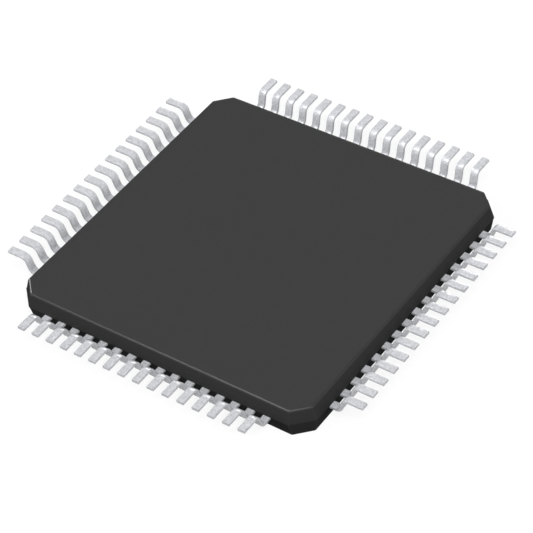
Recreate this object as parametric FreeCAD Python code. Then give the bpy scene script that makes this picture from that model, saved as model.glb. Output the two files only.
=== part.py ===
"""Quad flat pack chip, lying on its marking face with its solder feet up.

All lengths are in millimetres. The origin is the centre of the marking face, which rests on
z = 0, and +Z points out of the underside, the side that is soldered to a board.
"""
import FreeCAD, Part
import math
import os

V = FreeCAD.Vector

# Moulded body
leads_per_side = 16
lead_pitch = 0.5
end_margin = 1.25               # middle of the last lead to the body's side
corner_chamfer = 0.55
marking_half_depth = 0.47       # marking face to the parting band
parting_band = 0.03
underside_half_depth = 0.40     # parting band to the underside
parting_step = 0.01             # the band stands proud of both halves
marking_draft_deg = 12.0
underside_draft_deg = 17.0
marking_corner_draft_deg = 9.0  # the chamfered corners lean less than the sides
underside_corner_draft_deg = 15.0
edge_radius = 0.05
pin_one_dimple_radius = 0.5
pin_one_dimple_depth = 0.05
pin_one_dimple_inset = 1.3      # body's side to the middle of the dimple

# Leads
lead_thickness = 0.09
lead_width = 0.23
shoulder_length = 0.17          # straight out of the body
bend_inner_radius = 0.15
riser_angle_deg = 74.0
bend_flats = 5                  # short flats that make up each bend
foot_length = 0.466             # flat part of the foot
stand_off = 0.06                # underside to the solder face of the feet
finger_lock_length = 0.35       # full width inside the body
finger_tip_width = 0.16

# Die pad and its tie bars
pad_border = 0.6                # pad round the die
pad_downset = 0.12              # pad above the plane of the leads
pad_to_finger_gap = 0.35
tie_bar_width = 0.2
tie_bar_ramp_start = 0.35       # level stretch beside the pad's corner
tie_bar_ramp_length = 0.25
tie_bar_cover = 0.12            # moulding compound over the bar's cut end
tie_bar_keep_out = 0.5          # last finger tip to the corner between two rows of tips

# Silicon die and its bonds
die_side = 3.6
die_thickness = 0.20
die_attach_thickness = 0.02
bond_row_inset = 0.10
bond_corner_inset = 0.30
wire_thickness = 0.022
wire_loop_height = 0.12
stitch_inset = 0.15             # finger tip to the middle of the stitch

# Worked out from the sizes above
body_side = (leads_per_side - 1) * lead_pitch + 2 * end_margin
band_bottom = marking_half_depth
band_top = band_bottom + parting_band
underside = band_top + underside_half_depth
lead_low = band_bottom - lead_thickness
foot_top = underside + stand_off
pad_side = die_side + 2 * pad_border
pad_low = lead_low + pad_downset
attach_low = pad_low - die_attach_thickness
die_low = attach_low - die_thickness
finger_tip = pad_side / 2 + pad_to_finger_gap


def face_of(points):
    return Part.Face(Part.makePolygon(points + [points[0]]))


def solid_between(rings):
    """A flat-faced solid through rings of points, which follow each other along their right-hand normal."""
    faces = [face_of(rings[0][::-1]), face_of(rings[-1])]
    for near, far in zip(rings, rings[1:]):
        for k in range(len(near)):
            j = (k + 1) % len(near)
            faces.append(face_of([near[k], near[j], far[j], far[k]]))
    return Part.Solid(Part.makeShell(faces))


def in_a_row(place, reach):
    """Offset of one place from the middle of a side whose first and last places are reach apart."""
    return (place / (leads_per_side - 1) - 0.5) * reach


def on_four_sides(solid):
    """The solid and its copies on the other three sides, in the order of the pin numbers."""
    copies = []
    for quarter in range(4):
        copy = solid.copy()
        copy.rotate(V(0, 0, 0), V(0, 0, 1), -90 * quarter)
        copies.append(copy)
    return Part.makeCompound(copies)


# Moulded body

def octagon(side_inset, corner_inset, z):
    """The body's plan, a square with chamfered corners, with its sides and its corners drawn in."""
    half = body_side / 2 - side_inset
    leg = corner_chamfer - 2 * side_inset + math.sqrt(2) * corner_inset
    corner = half - leg
    plan = [(-corner, -half), (corner, -half), (half, -corner), (half, corner),
            (corner, half), (-corner, half), (-half, corner), (-half, -corner)]
    return [V(x, y, z) for x, y in plan]


def drafted_half(z_parting, z_face, side_draft_deg, corner_draft_deg):
    """One half of the body, narrower at its face, with the edges of that face rounded."""
    height = abs(z_face - z_parting)
    side_inset = parting_step + height * math.tan(math.radians(side_draft_deg))
    corner_inset = parting_step + height * math.tan(math.radians(corner_draft_deg))
    rings = [octagon(parting_step, parting_step, z_parting), octagon(side_inset, corner_inset, z_face)]
    half = solid_between(sorted(rings, key=lambda ring: ring[0].z))
    face_edges = [edge for edge in half.Edges if all(abs(v.Z - z_face) < 1e-6 for v in edge.Vertexes)]
    return half.makeFillet(edge_radius, face_edges).Solids[0]


def moulded_block():
    marking_half = drafted_half(band_bottom, 0, marking_draft_deg, marking_corner_draft_deg)
    underside_half = drafted_half(band_top, underside, underside_draft_deg, underside_corner_draft_deg)
    band = solid_between([octagon(0, 0, band_bottom), octagon(0, 0, band_top)])
    return marking_half.fuse([band, underside_half])


def pin_one_dimple():
    corner = body_side / 2 - pin_one_dimple_inset
    return Part.makeCylinder(pin_one_dimple_radius, pin_one_dimple_depth, V(-corner, -corner, 0))


# Leads

def formed_profile():
    """Side view of a lead on the -Y side: finger, shoulder, riser and foot, bent from one strip."""
    angle = math.radians(riser_angle_deg)
    turns = [angle * step / bend_flats for step in range(bend_flats + 1)]
    mid_radius = bend_inner_radius + lead_thickness / 2
    outer_radius = bend_inner_radius + lead_thickness
    shoulder_end = body_side / 2 + shoulder_length
    low_centre_z = band_bottom + bend_inner_radius
    high_centre_z = foot_top - lead_thickness - bend_inner_radius
    riser = (high_centre_z - low_centre_z + 2 * mid_radius * math.cos(angle)) / math.sin(angle)
    foot_start = shoulder_end + 2 * mid_radius * math.sin(angle) + riser * math.cos(angle)
    toe = foot_start + foot_length

    def low_bend(radius, turn):
        return V(0, -shoulder_end - radius * math.sin(turn), low_centre_z - radius * math.cos(turn))

    def high_bend(radius, turn):
        return V(0, -foot_start + radius * math.sin(turn), high_centre_z + radius * math.cos(turn))

    board_face = [V(0, -finger_tip, band_bottom)]
    board_face += [low_bend(bend_inner_radius, turn) for turn in turns]
    board_face += [high_bend(outer_radius, turn) for turn in reversed(turns)]
    board_face.append(V(0, -toe, foot_top))
    marking_face = [V(0, -finger_tip, lead_low)]
    marking_face += [low_bend(outer_radius, turn) for turn in turns]
    marking_face += [high_bend(bend_inner_radius, turn) for turn in reversed(turns)]
    marking_face.append(V(0, -toe, foot_top - lead_thickness))
    return face_of(board_face + marking_face[::-1]), toe


def finger_middle(place, y):
    """Where the middle of a slanting finger is, at a distance y inside the middle of the body."""
    at_wall = in_a_row(place, (leads_per_side - 1) * lead_pitch)
    at_tip = in_a_row(place, 2 * (finger_tip - tie_bar_keep_out))
    lock_end = body_side / 2 - finger_lock_length
    return at_tip + (at_wall - at_tip) * (y - finger_tip) / (lock_end - finger_tip)


def lead(place, profile, toe):
    """One lead: its stamped outline, seen from above, cut out of the formed profile."""
    lock_end = body_side / 2 - finger_lock_length
    middle = finger_middle(place, lock_end)
    tip = finger_middle(place, finger_tip)
    outline = [(middle - lead_width / 2, -toe), (middle + lead_width / 2, -toe),
               (middle + lead_width / 2, -lock_end), (tip + finger_tip_width / 2, -finger_tip),
               (tip - finger_tip_width / 2, -finger_tip), (middle - lead_width / 2, -lock_end)]
    stamped = face_of([V(x, y, 0) for x, y in outline]).extrude(V(0, 0, foot_top))
    strip = profile.copy()
    strip.translate(V(-body_side / 2, 0, 0))
    strip = strip.extrude(V(body_side, 0, 0))
    return stamped.common(strip).Solids[0]


# Die pad

def tie_bar():
    """One bar from the pad towards a corner, which steps down from the pad to the leads' plane."""
    pad_corner = pad_side / 2 * math.sqrt(2)
    chamfer_face = (body_side - corner_chamfer) / math.sqrt(2)
    ramp_start = pad_corner + tie_bar_ramp_start
    ramp_end = ramp_start + tie_bar_ramp_length
    end = chamfer_face - tie_bar_cover
    root = pad_corner - tie_bar_width
    low = [(root, pad_low), (ramp_start, pad_low), (ramp_end, lead_low), (end, lead_low)]
    high = [(distance, z + lead_thickness) for distance, z in reversed(low)]
    profile = [V(distance, -tie_bar_width / 2, z) for distance, z in low + high]
    return face_of(profile).extrude(V(0, tie_bar_width, 0))


def die_pad():
    pad = Part.makeBox(pad_side, pad_side, lead_thickness, V(-pad_side / 2, -pad_side / 2, pad_low))
    bars = []
    for corner in range(4):
        bar = tie_bar()
        bar.rotate(V(0, 0, 0), V(0, 0, 1), 45 + 90 * corner)
        bars.append(bar)
    return pad.fuse(bars).removeSplitter()


def square_plate(side, low, thickness):
    return Part.makeBox(side, side, thickness, V(-side / 2, -side / 2, low))


# Bond wires

def slide_to_plane(points, along, origin, normal):
    return [p + along * ((origin - p).dot(normal) / along.dot(normal)) for p in points]


def bond_wire(place):
    """A square wire: a short neck up from the die's bond row, then one run down to the finger."""
    bond = V(in_a_row(place, die_side - 2 * bond_corner_inset), -(die_side / 2 - bond_row_inset), die_low)
    crest = bond - V(0, 0, wire_loop_height)
    stitch_y = finger_tip + stitch_inset
    stitch = V(finger_middle(place, stitch_y), -stitch_y, lead_low)
    neck = V(0, 0, -1)
    run = (stitch - crest).normalize()
    ahead = V(run.x, run.y, 0).normalize() * (wire_thickness / 2)
    aside = V(-ahead.y, ahead.x, 0)
    foot = [bond + ahead + aside, bond + ahead - aside, bond - ahead - aside, bond - ahead + aside]
    kink = slide_to_plane(foot, neck, crest, neck + run)
    end = slide_to_plane(kink, run, stitch, V(0, 0, 1))
    return solid_between([foot, kink, end])


def main():
    os.makedirs("parts", exist_ok=True)
    profile, toe = formed_profile()
    pieces = {
        "die_pad": die_pad(),
        "die_attach": square_plate(die_side, attach_low, die_attach_thickness),
        "silicon_die": square_plate(die_side, die_low, die_thickness),
    }
    for place in range(leads_per_side):
        pieces[f"leads_place_{place + 1:02d}"] = on_four_sides(lead(place, profile, toe))
        pieces[f"bond_wires_place_{place + 1:02d}"] = on_four_sides(bond_wire(place))
    inside = [solid for piece in pieces.values() for solid in piece.Solids]
    body = moulded_block().cut(inside + [pin_one_dimple()])
    pieces["moulded_body"] = body.Solids[0]
    for name, shape in pieces.items():
        shape.exportStep(f"parts/{name}.step")
        print(name, len(shape.Solids), "solids", round(shape.Volume, 5), "mm3", shape.isValid())


main()
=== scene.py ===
"""Finished look of a quad flat pack chip that lies on its marking face with its solder feet up.

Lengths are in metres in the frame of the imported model: the origin is the centre of the marking
face, which rests on z = 0, and +Z points out of the underside, towards the solder feet.
"""
import math

import bmesh
import bpy
from bpy.props import FloatProperty, FloatVectorProperty, IntProperty, PointerProperty
from mathutils import Matrix, Vector


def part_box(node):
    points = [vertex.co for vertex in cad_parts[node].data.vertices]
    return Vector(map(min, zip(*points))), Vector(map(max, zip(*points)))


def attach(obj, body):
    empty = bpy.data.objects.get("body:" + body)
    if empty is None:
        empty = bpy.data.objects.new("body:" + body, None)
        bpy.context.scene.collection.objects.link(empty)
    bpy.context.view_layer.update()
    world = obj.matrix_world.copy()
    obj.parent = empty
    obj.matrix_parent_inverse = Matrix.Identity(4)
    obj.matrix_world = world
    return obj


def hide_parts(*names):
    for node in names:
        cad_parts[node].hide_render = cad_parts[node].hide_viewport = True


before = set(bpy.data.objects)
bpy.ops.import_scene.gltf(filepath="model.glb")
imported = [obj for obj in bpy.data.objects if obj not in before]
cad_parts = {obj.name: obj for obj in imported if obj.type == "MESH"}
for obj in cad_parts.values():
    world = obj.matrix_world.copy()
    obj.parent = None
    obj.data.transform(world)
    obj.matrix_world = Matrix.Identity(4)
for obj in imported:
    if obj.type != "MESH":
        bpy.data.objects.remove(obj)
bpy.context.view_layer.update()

bl_info = {
    "name": "Quad Flat Pack Chip",
    "version": (1, 0, 0),
    "blender": (4, 5, 0),
    "location": "3D View > Sidebar > Chip",
    "description": "Moulded body, gull-wing leads, bond wires and finishes of a quad flat pack chip",
    "category": "Object",
}

MM = 0.001
BODY_LOW, BODY_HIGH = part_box("moulded_body")
LEAD_LOW, LEAD_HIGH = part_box("leads_place_01")
DIE_LOW, DIE_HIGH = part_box("silicon_die")
HALF_BODY = (BODY_HIGH.x - BODY_LOW.x) / 2
HALF_DIE = (DIE_HIGH.x - DIE_LOW.x) / 2
LEAD_NODES = sorted(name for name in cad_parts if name.startswith("leads_place_"))
WIRE_NODES = sorted(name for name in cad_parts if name.startswith("bond_wires_place_"))


# Settings

def length(name, description, default):
    return FloatProperty(name=name, description=description, default=default, min=0.0, precision=6,
                         subtype="DISTANCE", unit="LENGTH")


def angle(name, description, degrees):
    return FloatProperty(name=name, description=description, default=math.radians(degrees), subtype="ANGLE")


def share(name, description, default):
    return FloatProperty(name=name, description=description, default=default, min=0.0, max=1.0,
                         subtype="FACTOR")


def strength(name, description, default):
    return FloatProperty(name=name, description=description, default=default, min=0.0)


def colour(name, description, default):
    return FloatVectorProperty(name=name, description=description, default=default, size=4,
                               min=0.0, max=1.0, subtype="COLOR")


class ChipBodySizes(bpy.types.PropertyGroup):
    """Sizes of the moulded body that its box doesn't give."""
    corner_chamfer: length("Corner Chamfer", "Leg of the chamfer at each upright corner", 0.55 * MM)
    parting_height: length("Parting Height", "Marking face to the parting band", 0.47 * MM)
    parting_band: length("Parting Band", "Height of the band between the two mould halves", 0.03 * MM)
    parting_step: length("Parting Step", "How far the band stands proud of both halves", 0.01 * MM)
    marking_draft: angle("Marking Draft", "Draft of the walls below the band", 12.0)
    underside_draft: angle("Underside Draft", "Draft of the walls above the band", 17.0)
    marking_corner_draft: angle("Marking Corner Draft", "Draft of the chamfers below the band", 9.0)
    underside_corner_draft: angle("Underside Corner Draft", "Draft of the chamfers above the band", 15.0)
    underside_edge_radius: length("Underside Edge Radius", "Rounding of the underside's edges", 0.09 * MM)
    marking_edge_radius: length("Marking Edge Radius", "Rounding of the marking face's edges", 0.03 * MM)
    corner_radius: length("Corner Radius", "Rounding of the upright corners", 0.08 * MM)
    dimple_radius: length("Dimple Radius", "Pin one dimple in the marking face", 0.5 * MM)
    dimple_depth: length("Dimple Depth", "Depth of the pin one dimple", 0.05 * MM)
    dimple_inset: length("Dimple Inset", "Side of the body to the middle of the dimple", 1.3 * MM)


class ChipLeadSizes(bpy.types.PropertyGroup):
    """Sizes of the gull-wing leads and of their platings."""
    per_side: IntProperty(name="Leads per Side", description="Leads along each side", default=16, min=1)
    pitch: length("Lead Pitch", "Middle of one lead to the next", 0.5 * MM)
    width: length("Lead Width", "Width of a lead outside the body", 0.23 * MM)
    thickness: length("Strip Thickness", "Thickness of the strip that the leads are cut from", 0.09 * MM)
    shoulder: length("Shoulder Length", "Straight stretch outside the body", 0.17 * MM)
    bend_radius: length("Bend Radius", "Radius of both bends, inside the bend", 0.15 * MM)
    riser_angle: angle("Riser Angle", "Slope of the riser between the shoulder and the foot", 74.0)
    edge_rounding: length("Edge Rounding", "Rounding that stamping and plating leave", 0.012 * MM)
    finger_tip: length("Finger Tip", "Middle of the body to the tips of the inner fingers", 2.75 * MM)
    lock_depth: length("Lock Depth", "Stretch of full width inside the body", 0.35 * MM)
    tip_width: share("Tip Width", "Width of a finger's tip as a share of the lead's width", 0.16 / 0.23)
    tip_spread: share("Tip Spread", "Reach of a row of tips as a share of the row at the wall", 0.6)
    tin_depth: length("Tin Depth", "How far the tin reaches in behind the wall", 0.02 * MM)
    silver_end: length("Silver End", "Middle of the body to the end of the silver", 3.3 * MM)


class ChipWireSizes(bpy.types.PropertyGroup):
    """Sizes of the bond wires between the die and the fingers."""
    thickness: length("Wire Thickness", "Diameter of a bond wire", 0.022 * MM)
    loop_height: length("Loop Height", "How far the loop stands off the die", 0.12 * MM)
    ball_diameter: length("Ball Diameter", "Width of the ball bond on the die", 0.05 * MM)
    row_inset: length("Row Inset", "Edge of the die to its row of bonds", 0.10 * MM)
    corner_inset: length("Corner Inset", "Corner of the die to the first bond of a row", 0.30 * MM)
    stitch_inset: length("Stitch Inset", "Tip of a finger to the stitch bond", 0.15 * MM)


class ChipFinishes(bpy.types.PropertyGroup):
    """Colours of the finishes, the painted shade of the moulded body's walls, and the coat on its edges."""
    compound: colour("Compound", "Moulding compound of the body", (0.0492, 0.0492, 0.0492, 1.0))
    # painted shade: the walls' colour is made darker than the faces' for how light falls on them
    painted_wall_shade: share("Wall Tone", "Brightness of the walls as a share of that of the faces", 0.69)
    edge_polish: share("Edge Polish", "Coat on the rounded edges, where it is fullest", 0.21)
    tin: colour("Tin", "Matte tin plating of the leads outside the body", (0.574, 0.580, 0.607, 1.0))
    copper: colour("Copper", "Bare strip inside the body", (0.66, 0.30, 0.18, 1.0))
    silver: colour("Silver", "Silver plating on the finger tips", (0.80, 0.79, 0.76, 1.0))
    gold: colour("Gold", "Bond wires", (0.83, 0.57, 0.20, 1.0))
    silicon: colour("Silicon", "Sawn silicon of the die", (0.10, 0.11, 0.13, 1.0))
    adhesive: colour("Adhesive", "Silver filled die attach", (0.46, 0.46, 0.47, 1.0))


class ChipStageSettings(bpy.types.PropertyGroup):
    """Camera, floor and light."""
    azimuth: angle("Azimuth", "Turn of the camera round the chip, from the -Y side", 40.850)
    elevation: angle("Elevation", "Height of the camera above the horizon", 43.520)
    roll: angle("Roll", "Turn of the camera about its own view line", -7.996)
    distance: length("Distance", "Camera to the point it looks at", 64.204 * MM)
    aim: FloatVectorProperty(name="Aim", description="Point that the camera looks at", size=3, precision=6,
                             default=(0.4450 * MM, -0.3410 * MM, 0.45 * MM), subtype="TRANSLATION")
    focal_length: FloatProperty(name="Focal Length", description="Lens on a 36 mm sensor", default=154.22,
                                unit="CAMERA")
    floor_radius: length("Floor Radius", "Size of the floor", 0.4)
    ambient: strength("Ambient", "Level of the soft light from all round", 0.2)
    key_level: strength("Key Level", "Main light, from above the near corner", 2.20)
    left_level: strength("Left Level", "Soft fill from the left corner", 1.4)
    right_level: strength("Right Level", "Low fill from the right", 0.80)
    edge_level: strength("Edge Level", "Gloss on the near edges, from above", 6.5)
    bend_level: strength("Bend Level", "Gloss on the upper bends, from behind", 1.6)
    rim_level: strength("Rim Level", "Gloss on the left edges, from the left", 5.0)


# Building blocks for node trees

def feed(tree, node, feeds):
    """Link the node's inputs to the outputs of other nodes, or set them to plain values."""
    for key, value in feeds.items():
        if isinstance(value, bpy.types.NodeSocket):
            tree.links.new(value, node.inputs[key])
        else:
            node.inputs[key].default_value = value


def add(tree, kind, feeds=None, **settings):
    """A new node with these settings and fed inputs."""
    node = tree.nodes.new(kind)
    for name, value in settings.items():
        setattr(node, name, value)
    feed(tree, node, feeds or {})
    return node


def math_of(tree, operation, *values):
    return add(tree, "ShaderNodeMath", dict(enumerate(values)), operation=operation).outputs[0]


def plus(tree, first, second):
    return math_of(tree, "ADD", first, second)


def minus(tree, first, second):
    return math_of(tree, "SUBTRACT", first, second)


def times(tree, first, second):
    return math_of(tree, "MULTIPLY", first, second)


def remap(tree, value, from_low, from_high, to_low=0.0, to_high=1.0):
    feeds = {0: value, 1: from_low, 2: from_high, 3: to_low, 4: to_high}
    return add(tree, "ShaderNodeMapRange", feeds, clamp=True).outputs[0]


def point(tree, x, y, z):
    return add(tree, "ShaderNodeCombineXYZ", {0: x, 1: y, 2: z}).outputs[0]


def parts_of(tree, vector):
    return add(tree, "ShaderNodeSeparateXYZ", {0: vector}).outputs


def blend_points(tree, factor, first, second):
    return add(tree, "ShaderNodeMix", {0: factor, 4: first, 5: second}, data_type="VECTOR").outputs[1]


def blend_colours(tree, factor, first, second, blend_type="MIX"):
    return add(tree, "ShaderNodeMix", {0: factor, 6: first, 7: second},
               data_type="RGBA", blend_type=blend_type).outputs[2]


def new_tree(name, kind, inputs, outputs):
    """An empty node group with its sockets: (tree, outputs of its group input, its group output)."""
    tree = bpy.data.node_groups.new(name, kind)
    for label, socket_type, default in inputs:
        socket = tree.interface.new_socket(label, in_out="INPUT", socket_type=socket_type)
        if default is not None:
            socket.default_value = default
    for label, socket_type in outputs:
        tree.interface.new_socket(label, in_out="OUTPUT", socket_type=socket_type)
    return tree, tree.nodes.new("NodeGroupInput").outputs, tree.nodes.new("NodeGroupOutput")


# Effects that several finishes share

NOISE_RANGE = (0.3, 0.7)     # nearly all values of a noise texture lie in here
PATCH_RANGE = (0.25, 0.6)    # noise over which a rubbed edge goes from its least to its full share


def fine_grain_group():
    """Grain and slow mottling over a surface: a colour, a roughness and a height."""
    if "Fine Grain" in bpy.data.node_groups:
        return bpy.data.node_groups["Fine Grain"]
    tree, given, result = new_tree("Fine Grain", "ShaderNodeTree", [
        ("Vector", "NodeSocketVector", None),
        ("Grain Scale", "NodeSocketFloat", 30000.0),
        ("Mottle Scale", "NodeSocketFloat", 400.0),
        ("Mottle Share", "NodeSocketFloat", 0.3),
        ("Dark", "NodeSocketColor", (0.4, 0.4, 0.4, 1.0)),
        ("Light", "NodeSocketColor", (0.6, 0.6, 0.6, 1.0)),
        ("Smooth", "NodeSocketFloat", 0.3),
        ("Rough", "NodeSocketFloat", 0.5),
    ], [("Color", "NodeSocketColor"), ("Roughness", "NodeSocketFloat"), ("Height", "NodeSocketFloat")])
    grain = add(tree, "ShaderNodeTexNoise", {
        "Vector": given["Vector"], "Scale": given["Grain Scale"], "Detail": 3.0, "Roughness": 0.55})
    mottle = add(tree, "ShaderNodeTexNoise", {
        "Vector": given["Vector"], "Scale": given["Mottle Scale"], "Detail": 2.0, "Roughness": 0.5})
    spread = remap(tree, grain.outputs[0], *NOISE_RANGE)
    drift = remap(tree, mottle.outputs[0], *NOISE_RANGE)
    level = add(tree, "ShaderNodeMix", {0: given["Mottle Share"], 2: spread, 3: drift}).outputs[0]
    feed(tree, result, {
        "Color": blend_colours(tree, level, given["Dark"], given["Light"]),
        "Roughness": remap(tree, level, 0.0, 1.0, given["Smooth"], given["Rough"]),
        "Height": grain.outputs[0]})
    return tree


def speck_group():
    """A mask of small scattered specks, such as filler grains at a moulded face or pits in plating."""
    if "Specks" in bpy.data.node_groups:
        return bpy.data.node_groups["Specks"]
    tree, given, result = new_tree("Specks", "ShaderNodeTree", [
        ("Vector", "NodeSocketVector", None),
        ("Scale", "NodeSocketFloat", 9000.0),
        ("Size", "NodeSocketFloat", 0.22),
        ("Share", "NodeSocketFloat", 0.3),
        ("Strength", "NodeSocketFloat", 1.0),
    ], [("Mask", "NodeSocketFloat")])
    cells = add(tree, "ShaderNodeTexVoronoi", {"Vector": given["Vector"], "Scale": given["Scale"]})
    lucky = math_of(tree, "LESS_THAN", parts_of(tree, cells.outputs["Color"])[0], given["Share"])
    near = remap(tree, cells.outputs["Distance"], 0.0, given["Size"], 1.0, 0.0)
    feed(tree, result, {"Mask": times(tree, times(tree, lucky, near), given["Strength"])})
    return tree


def edge_rub_group():
    """A mask of edges that are a little rubbed, broken up by slow noise, used for smoother edges and for
    painted shade on them.
    """
    if "Edge Rub" in bpy.data.node_groups:
        return bpy.data.node_groups["Edge Rub"]
    tree, given, result = new_tree("Edge Rub", "ShaderNodeTree", [
        ("Vector", "NodeSocketVector", None),
        ("Edge", "NodeSocketFloat", 0.0),
        ("Patch Scale", "NodeSocketFloat", 2500.0),
        ("Least Share", "NodeSocketFloat", 0.45),
        ("Strength", "NodeSocketFloat", 1.0),
    ], [("Mask", "NodeSocketFloat")])
    patches = add(tree, "ShaderNodeTexNoise", {
        "Vector": given["Vector"], "Scale": given["Patch Scale"], "Detail": 2.0})
    broken = remap(tree, patches.outputs[0], *PATCH_RANGE, given["Least Share"], 1.0)
    feed(tree, result, {"Mask": times(tree, times(tree, given["Edge"], broken), given["Strength"])})
    return tree


def scaled(rgba, factor):
    return (*(min(1.0, value * factor) for value in rgba[:3]), 1.0)


def with_grain(tree, place, base, darkest, lightest, feeds):
    """Fine grain between a darker and a lighter shade of one colour."""
    shades = {"Vector": place, "Dark": scaled(base, darkest), "Light": scaled(base, lightest)}
    return add(tree, "ShaderNodeGroup", {**shades, **feeds}, node_tree=fine_grain_group()).outputs


def with_specks(tree, place, colour_under, colour_of_specks, feeds):
    """A colour with small specks of another."""
    specks = add(tree, "ShaderNodeGroup", {"Vector": place, **feeds}, node_tree=speck_group())
    return blend_colours(tree, specks.outputs[0], colour_under, colour_of_specks)


# Finishes

FACE_EDGE = 0.003 * MM        # rise over which the face's tone gives way to the walls' painted darker shade
FILLER_TONE = 2.0             # brightness of a filler grain as a share of the compound's
RUBBED_EDGE_PAINTED_SHADE = 0.95            # tone of the rounded edges as a share of the compound's: painted shade that dims the lit edges
RUBBED_SMOOTHING = 0.08       # what rubbing takes off the roughness
PIT_TONE = 0.62               # brightness of a pit in the tin as a share of the tin's
CIRCUIT_DEPTH = 0.002 * MM    # the die's patterned layer, on the side where the wires are bonded


def start_material(name):
    """A new material: (material, its tree, its Principled shader, Object coordinates)."""
    material = bpy.data.materials.new(name)
    material.use_nodes = True
    tree = material.node_tree
    shader = tree.nodes["Principled BSDF"]
    return material, tree, shader, add(tree, "ShaderNodeTexCoord").outputs["Object"]


def shade(tree, shader, feeds, height, depth):
    """Feed the shader, and give the surface a fine relief of this depth."""
    bump = add(tree, "ShaderNodeBump", {"Distance": depth, "Height": height})
    feed(tree, shader, {**feeds, "Normal": bump.outputs[0]})


def compound_material(finishes):
    """Moulding compound: matte faces, walls painted darker as painted shade, and a faint polish on the
    rounded edges, which are also painted a shade darker.
    """
    material, tree, shader, place = start_material("moulding compound")
    base = finishes.compound
    grain = with_grain(tree, place, base, darkest=0.93, lightest=1.07, feeds={
        "Grain Scale": 32000.0, "Mottle Scale": 500.0, "Mottle Share": 0.06, "Smooth": 0.24, "Rough": 0.32})
    filled = with_specks(tree, place, grain["Color"], scaled(base, FILLER_TONE), {
        "Scale": 14000.0, "Size": 0.25, "Share": 0.25, "Strength": 0.4})
    # Painted shade: the walls get a darker colour than the faces, for how the light falls on them.
    height = parts_of(tree, place)[2]
    near_top = remap(tree, height, BODY_HIGH.z - FACE_EDGE, BODY_HIGH.z)
    near_bottom = remap(tree, height, BODY_LOW.z, BODY_LOW.z + FACE_EDGE, 1.0, 0.0)
    face = math_of(tree, "MAXIMUM", near_top, near_bottom)
    brightness = remap(tree, face, 0.0, 1.0, finishes.painted_wall_shade, 1.0)
    with_painted_wall_shade = blend_colours(tree, 1.0, filled, brightness, "MULTIPLY")
    edge = add(tree, "ShaderNodeAttribute", attribute_name="edge").outputs["Fac"]
    # Rubbed edges are made a little smoother and painted a shade darker (painted shade).
    rub_and_painted_shade = add(tree, "ShaderNodeGroup", {"Vector": place, "Edge": edge, "Strength": 0.25},
              node_tree=edge_rub_group()).outputs[0]
    shade(tree, shader, {
        "Base Color": blend_colours(tree, rub_and_painted_shade, with_painted_wall_shade, scaled(base, RUBBED_EDGE_PAINTED_SHADE)),
        "Roughness": minus(tree, grain["Roughness"], times(tree, rub_and_painted_shade, RUBBED_SMOOTHING)),
        "Specular IOR Level": 0.0,
        "Coat Weight": remap(tree, edge, 0.0, 1.0, 0.0, finishes.edge_polish),
        "Coat Roughness": 0.27,
    }, height=grain["Height"], depth=1.2e-6)
    return material


def lead_material(finishes, sizes):
    """Tin outside the body, bare copper inside it, and silver where the wires are bonded."""
    material, tree, shader, place = start_material("plated leads")
    x, y, _ = parts_of(tree, place)
    reach = math_of(tree, "MAXIMUM", math_of(tree, "ABSOLUTE", x), math_of(tree, "ABSOLUTE", y))
    inside = math_of(tree, "LESS_THAN", reach, BODY_HIGH.x - sizes.tin_depth)
    at_tip = math_of(tree, "LESS_THAN", reach, sizes.silver_end)
    grain = with_grain(tree, place, finishes.tin, darkest=0.78, lightest=1.20, feeds={
        "Grain Scale": 17000.0, "Mottle Scale": 3000.0, "Mottle Share": 0.12, "Smooth": 0.17, "Rough": 0.23})
    tin = with_specks(tree, place, grain["Color"], scaled(finishes.tin, PIT_TONE), {
        "Scale": 30000.0, "Size": 0.4, "Share": 0.3, "Strength": 0.35})
    tin_and_copper = blend_colours(tree, inside, tin, tuple(finishes.copper))
    shade(tree, shader, {
        "Base Color": blend_colours(tree, at_tip, tin_and_copper, tuple(finishes.silver)),
        "Roughness": grain["Roughness"],
        "Metallic": 0.02,
        "Specular IOR Level": 0.18,
    }, height=grain["Height"], depth=2.0e-6)
    return material


def metal_material(name, base, metallic, smooth, rough, depth):
    """A plain grained metal or metal filled finish."""
    material, tree, shader, place = start_material(name)
    grain = with_grain(tree, place, base, darkest=0.85, lightest=1.12, feeds={
        "Grain Scale": 40000.0, "Mottle Scale": 1500.0, "Smooth": smooth, "Rough": rough})
    shade(tree, shader, {
        "Base Color": grain["Color"],
        "Roughness": grain["Roughness"],
        "Metallic": metallic,
    }, height=grain["Height"], depth=depth)
    return material


def silicon_material(base):
    """Sawn silicon with a patterned face of blocks and tracks that shows only on the bonded side."""
    material, tree, shader, place = start_material("silicon die")
    grain = with_grain(tree, place, base, darkest=0.8, lightest=1.3, feeds={
        "Grain Scale": 50000.0, "Mottle Scale": 900.0, "Smooth": 0.12, "Rough": 0.3})
    blocks = add(tree, "ShaderNodeTexBrick", {
        "Vector": place, "Color1": (0.16, 0.20, 0.30, 1.0), "Color2": (0.28, 0.20, 0.30, 1.0),
        "Mortar": (0.45, 0.42, 0.36, 1.0), "Scale": 1.0, "Mortar Size": 0.012 * MM,
        "Brick Width": 0.42 * MM, "Row Height": 0.27 * MM}, offset=0.37)
    on_face = math_of(tree, "LESS_THAN", parts_of(tree, place)[2], DIE_LOW.z + CIRCUIT_DEPTH)
    feed(tree, shader, {
        "Base Color": blend_colours(tree, on_face, grain["Color"], blocks.outputs["Color"]),
        "Roughness": grain["Roughness"]})
    return material


# Meshes

def link_piece(name, mesh):
    piece = bpy.data.objects.new(name, mesh)
    bpy.context.scene.collection.objects.link(piece)
    return piece


def settle(piece):
    """Turn what the piece's modifiers make into its own plain mesh, and remove them."""
    bpy.context.view_layer.update()
    graph = bpy.context.evaluated_depsgraph_get()
    made = bpy.data.meshes.new_from_object(piece.evaluated_get(graph), preserve_all_data_layers=True,
                                           depsgraph=graph)
    piece.modifiers.clear()
    piece.data = made
    made.name = piece.name


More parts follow.
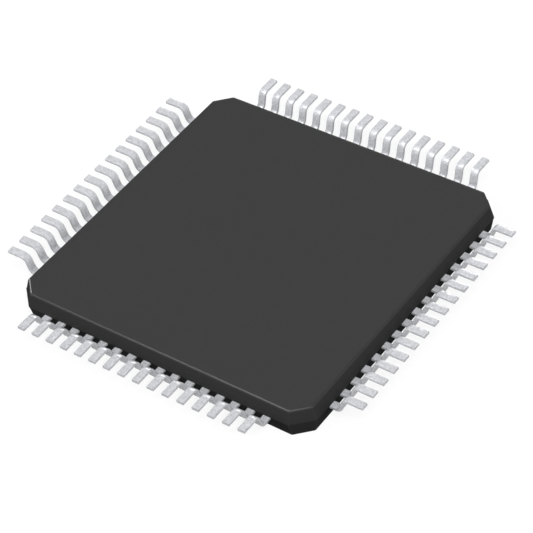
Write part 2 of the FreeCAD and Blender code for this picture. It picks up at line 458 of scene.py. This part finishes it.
def soften(piece, sharp_angle):
    """Smooth shading over rounded edges, with the flat faces kept flat."""
    piece.data.shade_smooth()
    piece.data.set_sharp_from_angle(angle=sharp_angle)
    modifier = piece.modifiers.new("Flat faces", "WEIGHTED_NORMAL")
    modifier.keep_sharp = True
    modifier.weight = 100
    settle(piece)


def finish_piece(piece, nodes):
    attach(piece, "root")
    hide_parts(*nodes)


# Moulded body

CORNER_STEPS = 5
EDGE_STEPS = 6
CORNER_POLISH = 0.3    # edge mask of the upright corners as a share of that of the faces' edges
DIMPLE_SIDES = 48
DIMPLE_STEPS = 3
DIMPLE_RIM = 0.25      # radius of the dimple's rounded rim as a share of its depth
DIMPLE_TOE = 0.4       # radius where its wall meets its floor as a share of its depth
DIMPLE_FLOOR = 0.5     # radius of the face in the middle of its floor as a share of the dimple's


def rounded_octagon(half, leg, radius):
    """Plan of the body, as (x, y, corner mask), from the -X end of the -Y side."""
    c = half - leg
    corners = [Vector(p) for p in [(-c, -half), (c, -half), (half, -c), (half, c),
                                   (c, half), (-c, half), (-half, c), (-half, -c)]]
    turn = math.pi / 4
    tangent = radius * math.tan(turn / 2)
    plan = []
    for k, corner in enumerate(corners):
        along = (corner - corners[k - 1]).normalized()
        outward = Vector((along.y, -along.x))
        centre = corner - along * tangent - outward * radius
        for step in range(CORNER_STEPS + 1):
            part = step / CORNER_STEPS
            p = centre + Matrix.Rotation(turn * part, 2) @ outward * radius
            plan.append((p.x, p.y, math.sin(math.pi * part)))
    return plan


def wall_inset(step, rise, height, draft, radius):
    """Inset of a wall, or of the rounded edge that ends it, at one rise above the parting band."""
    centre_inset = step + height * math.tan(draft) + radius * math.tan((math.pi / 2 - draft) / 2)
    above_centre = rise - (height - radius)
    if above_centre <= radius * math.sin(draft):
        return step + rise * math.tan(draft)
    return centre_inset - math.sqrt(max(0.0, radius**2 - above_centre**2))


def wall_stations(step, z_parting, z_face, draft, corner_draft, radius):
    """One mould half from the parting band to its face, as (side inset, corner inset, z, masks).

    The masks are those of the face's rounded edge and of the rounded upright corners.
    """
    height = abs(z_face - z_parting)
    up = 1 if z_face > z_parting else -1
    rises = [(0.0, 0.0, 1.0)]
    first_turn = min(draft, corner_draft)
    for k in range(EDGE_STEPS + 1):
        part = k / EDGE_STEPS
        turn = first_turn + (math.pi / 2 - first_turn) * part
        rises.append((height - radius * (1 - math.sin(turn)), math.sin(math.pi * part), 1 - part))
    stations = []
    for rise, edge, corner in rises:
        side_inset = wall_inset(step, rise, height, draft, radius)
        corner_inset = wall_inset(step, rise, height, corner_draft, radius)
        stations.append((side_inset, corner_inset, z_parting + up * rise, edge, corner))
    return stations


def dimple_stations(sizes):
    """The dimple from the marking face to its floor, as (radius, z)."""
    rim = DIMPLE_RIM * sizes.dimple_depth
    toe = DIMPLE_TOE * sizes.dimple_depth
    turns = [math.pi / 2 * step / DIMPLE_STEPS for step in range(DIMPLE_STEPS + 1)]
    stations = []
    for turn in turns:
        stations.append((sizes.dimple_radius + rim * (1 - math.sin(turn)), rim * (1 - math.cos(turn))))
    for turn in turns:
        stations.append((sizes.dimple_radius - toe * (1 - math.cos(turn)),
                         sizes.dimple_depth - toe * (1 - math.sin(turn))))
    stations.append((sizes.dimple_radius * DIMPLE_FLOOR, sizes.dimple_depth))
    return stations


def add_ring(bm, edge_layer, points):
    """A closed ring of vertices from (x, y, z, edge mask)."""
    ring = []
    for x, y, z, edge in points:
        vertex = bm.verts.new((x, y, z))
        vertex[edge_layer] = edge
        ring.append(vertex)
    return ring


def bridge(bm, near, far):
    for k, vertex in enumerate(near):
        j = (k + 1) % len(near)
        bm.faces.new((vertex, near[j], far[j], far[k]))


def ring_edges(ring):
    found = []
    for k, vertex in enumerate(ring):
        after = ring[(k + 1) % len(ring)]
        found.append(next(edge for edge in vertex.link_edges if edge.other_vert(vertex) is after))
    return found


def body_rings(bm, edge_layer, sizes):
    """Rings round the body from the marking face up to the underside."""
    band_low = sizes.parting_height
    band_high = band_low + sizes.parting_band
    lower = wall_stations(sizes.parting_step, band_low, BODY_LOW.z, sizes.marking_draft,
                          sizes.marking_corner_draft, sizes.marking_edge_radius)
    upper = wall_stations(sizes.parting_step, band_high, BODY_HIGH.z, sizes.underside_draft,
                          sizes.underside_corner_draft, sizes.underside_edge_radius)
    band = [(0.0, 0.0, band_low, 0.0, 1.0), (0.0, 0.0, band_high, 0.0, 1.0)]
    rings = []
    for inset, corner_inset, z, edge, corner in lower[::-1] + band + upper:
        leg = sizes.corner_chamfer - 2 * inset + math.sqrt(2) * corner_inset
        plan = rounded_octagon(HALF_BODY - inset, leg, sizes.corner_radius)
        points = [(x, y, z, max(edge, CORNER_POLISH * corner * turn)) for x, y, turn in plan]
        rings.append(add_ring(bm, edge_layer, points))
    return rings


def dimple_rings(bm, edge_layer, sizes):
    """Rings round the dimple from the marking face up to its floor."""
    middle = -(HALF_BODY - sizes.dimple_inset)
    turns = [2 * math.pi * k / DIMPLE_SIDES for k in range(DIMPLE_SIDES)]
    rings = []
    for radius, z in dimple_stations(sizes):
        points = [(middle + radius * math.cos(turn), middle + radius * math.sin(turn), z, 0.0)
                  for turn in turns]
        rings.append(add_ring(bm, edge_layer, points))
    return rings


def moulded_body_mesh(sizes):
    bm = bmesh.new()
    edge_layer = bm.verts.layers.float.new("edge")
    body = body_rings(bm, edge_layer, sizes)
    dimple = dimple_rings(bm, edge_layer, sizes)
    for rings in (body, dimple):
        for near, far in zip(rings, rings[1:]):
            bridge(bm, near, far)
        bm.faces.new(rings[-1])
    bmesh.ops.triangle_fill(bm, use_beauty=True, edges=ring_edges(body[0]) + ring_edges(dimple[0]))
    bmesh.ops.recalc_face_normals(bm, faces=bm.faces)
    mesh = bpy.data.meshes.new("moulded_body_finished")
    bm.to_mesh(mesh)
    bm.free()
    return mesh


class CHIP_OT_moulded_body(bpy.types.Operator):
    """Build the moulded body with its rounded edges, parting band and pin one dimple"""
    bl_idname = "chip.moulded_body"
    bl_label = "Moulded Body"

    def execute(self, context):
        piece = link_piece("moulded_body_finished", moulded_body_mesh(context.scene.chip_body))
        piece.data.materials.append(compound_material(context.scene.chip_finishes))
        soften(piece, sharp_angle=math.radians(22))
        finish_piece(piece, ["moulded_body"])
        return {"FINISHED"}


# Building blocks for geometry trees

SOCKET_KINDS = {int: "NodeSocketInt", float: "NodeSocketFloat", bpy.types.Material: "NodeSocketMaterial"}


def geometry_tree(name, values):
    """An empty geometry tree with an input for each of these named values."""
    inputs = [(label, SOCKET_KINDS[type(value)], value) for label, value in values.items()]
    return new_tree(name, "GeometryNodeTree", inputs, [("Geometry", "NodeSocketGeometry")])


def piece_from_tree(name, tree, values):
    """The plain mesh that a geometry tree makes from these values, as a piece."""
    piece = link_piece(name, bpy.data.meshes.new(name))
    modifier = piece.modifiers.new("Build", "NODES")
    modifier.node_group = tree
    for socket in tree.interface.items_tree:
        if socket.in_out == "INPUT":
            modifier[socket.identifier] = values[socket.name]
    settle(piece)
    return piece


def remember(tree, geometry, name, value):
    """Keep a value on each point of the geometry: (the geometry, the value as kept)."""
    kept = add(tree, "GeometryNodeCaptureAttribute", {0: geometry})
    kept.capture_items.new("FLOAT", name)
    tree.links.new(value, kept.inputs[1])
    return kept.outputs[0], kept.outputs[1]


def copies_on(tree, points, geometry, **feeds):
    """Copies of the geometry on the points, as plain geometry."""
    copies = add(tree, "GeometryNodeInstanceOnPoints", {"Points": points, "Instance": geometry, **feeds})
    return add(tree, "GeometryNodeRealizeInstances", {0: copies.outputs[0]}).outputs[0]


def finish_on_four_sides(tree, geometry, material, result):
    """Put the -Y side's geometry on all four sides, and give it its material."""
    spots = add(tree, "GeometryNodeMeshLine", {"Count": 4, "Offset": (0.0, 0.0, 0.0)}).outputs[0]
    quarter = times(tree, add(tree, "GeometryNodeInputIndex").outputs[0], -math.pi / 2)
    sides = copies_on(tree, spots, geometry, Rotation=point(tree, 0.0, 0.0, quarter))
    painted = add(tree, "GeometryNodeSetMaterial", {"Geometry": sides, "Material": material})
    tree.links.new(painted.outputs[0], result.inputs[0])


# Leads

BEND_STEPS = 10
ROUNDING_STEPS = 3
LOW_BEND, HIGH_BEND = 2, 3    # places of the two bends among the points of a lead's path
SAME_PLACE = 1e-8             # points nearer than this are one point


def lead_path(tree, given):
    """Centreline of a lead on the -Y side, from its finger tip to its toe, with both bends rounded."""
    middle_radius = plus(tree, given["Bend Radius"], times(tree, given["Strip Thickness"], 0.5))
    half_turn = times(tree, given["Riser Angle"], 0.5)
    tangent = times(tree, middle_radius, math_of(tree, "TANGENT", half_turn))
    rise = minus(tree, given["Foot Height"], given["Shoulder Height"])
    run = math_of(tree, "DIVIDE", rise, math_of(tree, "TANGENT", given["Riser Angle"]))
    low_corner = plus(tree, given["Shoulder End"], tangent)
    high_corner = plus(tree, low_corner, run)
    before_toe = minus(tree, given["Toe"], given["Edge Rounding"])
    reaches = [given["Finger Tip"], given["Lock End"], low_corner, high_corner, before_toe, given["Toe"]]
    heights = [given["Shoulder Height"]] * 3 + [given["Foot Height"]] * 3
    index = add(tree, "GeometryNodeInputIndex").outputs[0]
    pick = add(tree, "GeometryNodeIndexSwitch", data_type="VECTOR")
    while len(pick.index_switch_items) < len(reaches):
        pick.index_switch_items.new()
    tree.links.new(index, pick.inputs[0])
    for k, (reach, height) in enumerate(zip(reaches, heights)):
        tree.links.new(point(tree, 0.0, times(tree, reach, -1.0), height), pick.inputs[k + 1])
    line = add(tree, "GeometryNodeMeshLine", {"Count": len(reaches)})
    placed = add(tree, "GeometryNodeSetPosition", {"Geometry": line.outputs[0], "Position": pick.outputs[0]})
    curve = add(tree, "GeometryNodeMeshToCurve", {"Mesh": placed.outputs[0]})
    from_low = math_of(tree, "GREATER_THAN", index, LOW_BEND - 0.5)
    to_high = math_of(tree, "LESS_THAN", index, HIGH_BEND + 0.5)
    radius = times(tree, times(tree, from_low, to_high), middle_radius)
    rounded = add(tree, "GeometryNodeFilletCurve", {
        "Curve": curve.outputs[0], "Count": BEND_STEPS, "Radius": radius}, mode="POLY")
    return add(tree, "GeometryNodeSetCurveNormal", {"Curve": rounded.outputs[0]}, mode="Z_UP").outputs[0]


def one_lead(tree, given):
    """A lead of full width all along, swept along its path."""
    strip = add(tree, "GeometryNodeCurvePrimitiveQuadrilateral", {
        "Width": given["Lead Width"], "Height": given["Strip Thickness"]}, mode="RECTANGLE")
    section = add(tree, "GeometryNodeFilletCurve", {
        "Curve": strip.outputs[0], "Count": ROUNDING_STEPS, "Radius": given["Edge Rounding"]}, mode="POLY")
    swept = add(tree, "GeometryNodeCurveToMesh", {
        "Curve": lead_path(tree, given), "Profile Curve": section.outputs[0], "Fill Caps": True})
    merged = add(tree, "GeometryNodeMergeByDistance", {"Geometry": swept.outputs[0], "Distance": SAME_PLACE})
    return merged.outputs[0]


def lead_tree(values):
    """Leads bent from flat strip along each side, whose fingers fan in towards the die."""
    tree, given, result = geometry_tree("Gull-wing Leads", values)
    lead = one_lead(tree, given)
    reach = times(tree, minus(tree, given["Leads per Side"], 1.0), given["Lead Pitch"])
    row = add(tree, "GeometryNodeMeshLine", {
        "Count": given["Leads per Side"], "Start Location": point(tree, times(tree, reach, -0.5), 0.0, 0.0),
        "Offset": point(tree, given["Lead Pitch"], 0.0, 0.0)})
    across = parts_of(tree, add(tree, "GeometryNodeInputPosition").outputs[0])[0]
    points, place = remember(tree, row.outputs[0], "place", across)
    side = copies_on(tree, points, lead)

    x, y, z = parts_of(tree, add(tree, "GeometryNodeInputPosition").outputs[0])
    inward = remap(tree, times(tree, y, -1.0), given["Finger Tip"], given["Lock End"], 1.0, 0.0)
    fan = remap(tree, inward, 0.0, 1.0, 1.0, given["Tip Spread"])
    taper = remap(tree, inward, 0.0, 1.0, 1.0, given["Tip Width"])
    fanned_x = plus(tree, times(tree, place, fan), times(tree, minus(tree, x, place), taper))
    fanned = add(tree, "GeometryNodeSetPosition", {"Geometry": side, "Position": point(tree, fanned_x, y, z)})
    finish_on_four_sides(tree, fanned.outputs[0], given["Finish"], result)
    return tree


class CHIP_OT_leads(bpy.types.Operator):
    """Build the gull-wing leads with their inner fingers"""
    bl_idname = "chip.leads"
    bl_label = "Gull-wing Leads"

    def execute(self, context):
        sizes = context.scene.chip_leads
        values = {
            "Leads per Side": sizes.per_side,
            "Lead Pitch": sizes.pitch,
            "Lead Width": sizes.width,
            "Strip Thickness": sizes.thickness,
            "Shoulder End": HALF_BODY + sizes.shoulder,
            "Bend Radius": sizes.bend_radius,
            "Riser Angle": sizes.riser_angle,
            "Shoulder Height": LEAD_LOW.z + sizes.thickness / 2,
            "Foot Height": LEAD_HIGH.z - sizes.thickness / 2,
            "Toe": LEAD_HIGH.x,
            "Edge Rounding": sizes.edge_rounding,
            "Finger Tip": sizes.finger_tip,
            "Lock End": HALF_BODY - sizes.lock_depth,
            "Tip Width": sizes.tip_width,
            "Tip Spread": sizes.tip_spread,
            "Finish": lead_material(context.scene.chip_finishes, sizes),
        }
        piece = piece_from_tree("gull_wing_leads", lead_tree(values), values)
        soften(piece, sharp_angle=math.radians(40))
        finish_piece(piece, LEAD_NODES)
        return {"FINISHED"}


# Bond wires

WIRE_STEPS = 18
NECK_PULL = 1.5                    # pull on a loop's curve over the bond, in loop heights
RUN_PULL = 1.2                     # pull on it over the run to the finger, in loop heights
RUN_START = 0.3                    # where that second pull is, as a share of the way to the finger
AT_END = 0.001                     # share of a wire's length that counts as its end
BALL_SHAPE = (1.0, 1.0, 0.45)      # the ball bond on the die, as shares of a ball
STITCH_SHAPE = (0.75, 1.1, 0.25)   # the flatter stitch bond on the finger


def pulled(tree, start, distance):
    """A point moved away from the die, towards the marking face, as the wires' loops are."""
    return add(tree, "ShaderNodeVectorMath", {0: start, 1: point(tree, 0.0, 0.0, distance)},
               operation="SUBTRACT").outputs[0]


def loop_curve(tree, given, along, across):
    """Place on a wire's loop, from its bond on the die to its stitch on the finger."""
    def bond_at(reach, row, height):
        x = times(tree, across, given[reach])
        return point(tree, x, times(tree, given[row], -1.0), given[height])

    bond = bond_at("Bond Reach", "Bond Row", "Bond Height")
    stitch = bond_at("Stitch Reach", "Stitch Row", "Stitch Height")
    over_bond = pulled(tree, bond, times(tree, given["Loop Height"], NECK_PULL))
    run_start = blend_points(tree, RUN_START, bond, stitch)
    over_run = pulled(tree, run_start, times(tree, given["Loop Height"], RUN_PULL))
    first = blend_points(tree, along, bond, over_bond)
    second = blend_points(tree, along, over_bond, over_run)
    third = blend_points(tree, along, over_run, stitch)
    rising = blend_points(tree, along, first, second)
    falling = blend_points(tree, along, second, third)
    return blend_points(tree, along, rising, falling)


def wire_tree(values):
    """Round bond wires, each from a ball on the die over a loop to a stitch on its finger."""
    tree, given, result = geometry_tree("Bond Wires", values)
    index = add(tree, "GeometryNodeInputIndex").outputs[0]
    strand = add(tree, "GeometryNodeMeshLine", {"Count": given["Steps"]})
    step_share = math_of(tree, "DIVIDE", index, minus(tree, given["Steps"], 1.0))
    one_strand, along = remember(tree, strand.outputs[0], "along", step_share)
    row = add(tree, "GeometryNodeMeshLine", {"Count": given["Wires per Side"]})
    wire_share = math_of(tree, "DIVIDE", index, minus(tree, given["Wires per Side"], 1.0))
    points, across = remember(tree, row.outputs[0], "across", minus(tree, wire_share, 0.5))
    strands = copies_on(tree, points, one_strand)
    laid = add(tree, "GeometryNodeSetPosition", {
        "Geometry": strands, "Position": loop_curve(tree, given, along, across)})
    curve = add(tree, "GeometryNodeMeshToCurve", {"Mesh": laid.outputs[0]})
    section = add(tree, "GeometryNodeCurvePrimitiveCircle", {
        "Resolution": 10, "Radius": times(tree, given["Wire Thickness"], 0.5)})
    wires = add(tree, "GeometryNodeCurveToMesh", {
        "Curve": curve.outputs[0], "Profile Curve": section.outputs[0], "Fill Caps": True})

    sphere = add(tree, "GeometryNodeMeshUVSphere", {
        "Segments": 14, "Rings": 8, "Radius": times(tree, given["Ball Diameter"], 0.5)})
    at_die = math_of(tree, "LESS_THAN", along, AT_END)
    at_finger = math_of(tree, "GREATER_THAN", along, 1.0 - AT_END)
    everything = add(tree, "GeometryNodeJoinGeometry")
    tree.links.new(wires.outputs[0], everything.inputs[0])
    for chosen, shape in [(at_die, BALL_SHAPE), (at_finger, STITCH_SHAPE)]:
        bonds = add(tree, "GeometryNodeInstanceOnPoints", {
            "Points": laid.outputs[0], "Selection": chosen, "Instance": sphere.outputs[0], "Scale": shape})
        tree.links.new(bonds.outputs[0], everything.inputs[0])
    finish_on_four_sides(tree, everything.outputs[0], given["Finish"], result)
    return tree


class CHIP_OT_bond_wires(bpy.types.Operator):
    """Build the bond wires between the die and the fingers"""
    bl_idname = "chip.bond_wires"
    bl_label = "Bond Wires"

    def execute(self, context):
        sizes, leads = context.scene.chip_wires, context.scene.chip_leads
        finger_length = HALF_BODY - leads.lock_depth - leads.finger_tip
        inward = 1 - sizes.stitch_inset / finger_length
        wall_reach = (leads.per_side - 1) * leads.pitch
        values = {
            "Wires per Side": leads.per_side,
            "Steps": WIRE_STEPS,
            "Bond Row": HALF_DIE - sizes.row_inset,
            "Bond Reach": 2 * (HALF_DIE - sizes.corner_inset),
            "Bond Height": DIE_LOW.z,
            "Stitch Row": leads.finger_tip + sizes.stitch_inset,
            "Stitch Reach": wall_reach * (1 - (1 - leads.tip_spread) * inward),
            "Stitch Height": LEAD_LOW.z,
            "Loop Height": sizes.loop_height,
            "Wire Thickness": sizes.thickness,
            "Ball Diameter": sizes.ball_diameter,
            "Finish": metal_material("gold wire", context.scene.chip_finishes.gold,
                                     metallic=1.0, smooth=0.18, rough=0.3, depth=2e-7),
        }
        piece = piece_from_tree("bond_wires", wire_tree(values), values)
        soften(piece, sharp_angle=math.radians(50))
        finish_piece(piece, WIRE_NODES)
        return {"FINISHED"}


class CHIP_OT_inner_finishes(bpy.types.Operator):
    """Give the die, its adhesive and the die pad their finishes"""
    bl_idname = "chip.inner_finishes"
    bl_label = "Die and Pad Finishes"

    def execute(self, context):
        finishes = context.scene.chip_finishes
        made = {
            "silicon_die": silicon_material(finishes.silicon),
            "die_attach": metal_material("die attach", finishes.adhesive,
                                         metallic=0.4, smooth=0.45, rough=0.65, depth=2e-6),
            "die_pad": metal_material("die pad copper", finishes.copper,
                                      metallic=1.0, smooth=0.3, rough=0.45, depth=1e-6),
        }
        for name, material in made.items():
            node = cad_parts[name]
            node.data.materials.clear()
            node.data.materials.append(material)
        return {"FINISHED"}


# Stage

WHITE = (1.0, 1.0, 1.0, 1.0)
FLOOR_GREY = (0.18, 0.18, 0.18, 1.0)    # what the floor sends back of the light that falls on it
FLOOR_GLOW = 0.84                       # its own light, which makes it white where no shadow falls
FLOOR_GAP = 2e-6                        # keeps the floor clear of the marking face, seen from below
SENSOR_WIDTH = 36.0                     # of the camera, in millimetres
NEAREST, FARTHEST = 0.1, 100.0          # range that the camera shows, in distances to the chip


def seen_directly(tree):
    """1 for rays from the camera, from gloss and through glass, else 0."""
    path = add(tree, "ShaderNodeLightPath").outputs
    direct = math_of(tree, "MAXIMUM", path["Is Camera Ray"], path["Is Glossy Ray"])
    return math_of(tree, "MAXIMUM", direct, path["Is Transmission Ray"])


def floor_material():
    """A pale floor that shows white where no shadow falls."""
    material = bpy.data.materials.new("floor")
    material.use_nodes = True
    tree = material.node_tree
    tree.nodes.clear()
    surface = add(tree, "ShaderNodeBsdfDiffuse", {"Color": FLOOR_GREY})
    glow = times(tree, seen_directly(tree), FLOOR_GLOW)
    backdrop = add(tree, "ShaderNodeEmission", {"Color": WHITE, "Strength": glow})
    both = add(tree, "ShaderNodeAddShader", {0: surface.outputs[0], 1: backdrop.outputs[0]})
    add(tree, "ShaderNodeOutputMaterial", {"Surface": both.outputs[0]})
    return material


def add_floor(radius):
    bm = bmesh.new()
    bmesh.ops.create_circle(bm, cap_ends=True, segments=64, radius=radius,
                            matrix=Matrix.Translation((0.0, 0.0, -FLOOR_GAP)))
    bmesh.ops.recalc_face_normals(bm, faces=bm.faces)
    mesh = bpy.data.meshes.new("floor")
    bm.to_mesh(mesh)
    bm.free()
    mesh.materials.append(floor_material())
    link_piece("floor", mesh)


def set_world(ambient):
    world = bpy.data.worlds.new("studio")
    world.use_nodes = True
    tree = world.node_tree
    tree.nodes.clear()
    level = remap(tree, seen_directly(tree), 0.0, 1.0, ambient, 1.0)
    light = add(tree, "ShaderNodeBackground", {"Color": WHITE, "Strength": level})
    add(tree, "ShaderNodeOutputWorld", {"Surface": light.outputs[0]})
    bpy.context.scene.world = world


def add_sun(name, towards, level, softness, diffuse=True, glossy=True):
    """A soft light from one direction, given as the vector from the chip towards it."""
    light = bpy.data.lights.new(name, "SUN")
    light.energy = level
    light.angle = softness
    lamp = bpy.data.objects.new(name, light)
    lamp.rotation_mode = "QUATERNION"
    lamp.rotation_quaternion = Vector(towards).to_track_quat("Z", "Y")
    lamp.visible_diffuse = diffuse
    lamp.visible_glossy = glossy
    bpy.context.scene.collection.objects.link(lamp)


def add_camera(settings):
    azimuth, elevation = settings.azimuth, settings.elevation
    back = Vector((math.sin(azimuth) * math.cos(elevation), -math.cos(azimuth) * math.cos(elevation),
                   math.sin(elevation)))
    level_right = Vector((math.cos(azimuth), math.sin(azimuth), 0.0))
    right = Matrix.Rotation(settings.roll, 3, back) @ level_right
    up = back.cross(right)
    camera = bpy.data.objects.new("camera", bpy.data.cameras.new("camera"))
    place = Vector(settings.aim) + back * settings.distance
    camera.matrix_world = Matrix.Translation(place) @ Matrix((right, up, back)).transposed().to_4x4()
    camera.data.lens = settings.focal_length
    camera.data.sensor_width = SENSOR_WIDTH
    camera.data.clip_start = settings.distance * NEAREST
    camera.data.clip_end = settings.distance * FARTHEST
    bpy.context.scene.collection.objects.link(camera)
    bpy.context.scene.camera = camera


class CHIP_OT_stage(bpy.types.Operator):
    """Set up the pale floor, the soft light and the camera"""
    bl_idname = "chip.stage"
    bl_label = "Stage"

    def execute(self, context):
        settings = context.scene.chip_stage
        add_floor(settings.floor_radius)
        set_world(settings.ambient)
        add_sun("key light", (0.41, -0.40, 0.82), settings.key_level, math.radians(35))
        add_sun("left light", (-0.62, -0.62, 0.47), settings.left_level, math.radians(30), glossy=False)
        add_sun("right light", (0.85, 0.35, 0.40), settings.right_level, math.radians(20), glossy=False)
        add_sun("edge light", (-0.24, -0.36, 0.90), settings.edge_level, math.radians(40), diffuse=False)
        add_sun("bend light", (-0.42, 0.80, 0.42), settings.bend_level, math.radians(16), diffuse=False)
        add_sun("rim light", (-0.86, 0.16, 0.48), settings.rim_level, math.radians(20), diffuse=False)
        add_camera(settings)
        context.scene.view_settings.view_transform = "Standard"
        return {"FINISHED"}


# Add-on

SECTIONS = [
    ("chip_body", ChipBodySizes, CHIP_OT_moulded_body),
    ("chip_leads", ChipLeadSizes, CHIP_OT_leads),
    ("chip_wires", ChipWireSizes, CHIP_OT_bond_wires),
    ("chip_finishes", ChipFinishes, CHIP_OT_inner_finishes),
    ("chip_stage", ChipStageSettings, CHIP_OT_stage),
]


class CHIP_PT_sidebar(bpy.types.Panel):
    """Sizes, finishes and build steps of the chip"""
    bl_idname = "CHIP_PT_sidebar"
    bl_label = "Quad Flat Pack Chip"
    bl_space_type = "VIEW_3D"
    bl_region_type = "UI"
    bl_category = "Chip"

    def draw(self, context):
        for name, settings, operator in SECTIONS:
            box = self.layout.box()
            for setting in settings.__annotations__:
                box.prop(getattr(context.scene, name), setting)
            box.operator(operator.bl_idname)


def register():
    for name, settings, operator in SECTIONS:
        bpy.utils.register_class(settings)
        bpy.utils.register_class(operator)
        setattr(bpy.types.Scene, name, PointerProperty(type=settings))
    bpy.utils.register_class(CHIP_PT_sidebar)


def unregister():
    bpy.utils.unregister_class(CHIP_PT_sidebar)
    for name, settings, operator in reversed(SECTIONS):
        delattr(bpy.types.Scene, name)
        bpy.utils.unregister_class(operator)
        bpy.utils.unregister_class(settings)


def main():
    register()
    bpy.ops.chip.moulded_body()
    bpy.ops.chip.leads()
    bpy.ops.chip.bond_wires()
    bpy.ops.chip.inner_finishes()
    bpy.ops.chip.stage()


if __name__ == "__main__":
    main()
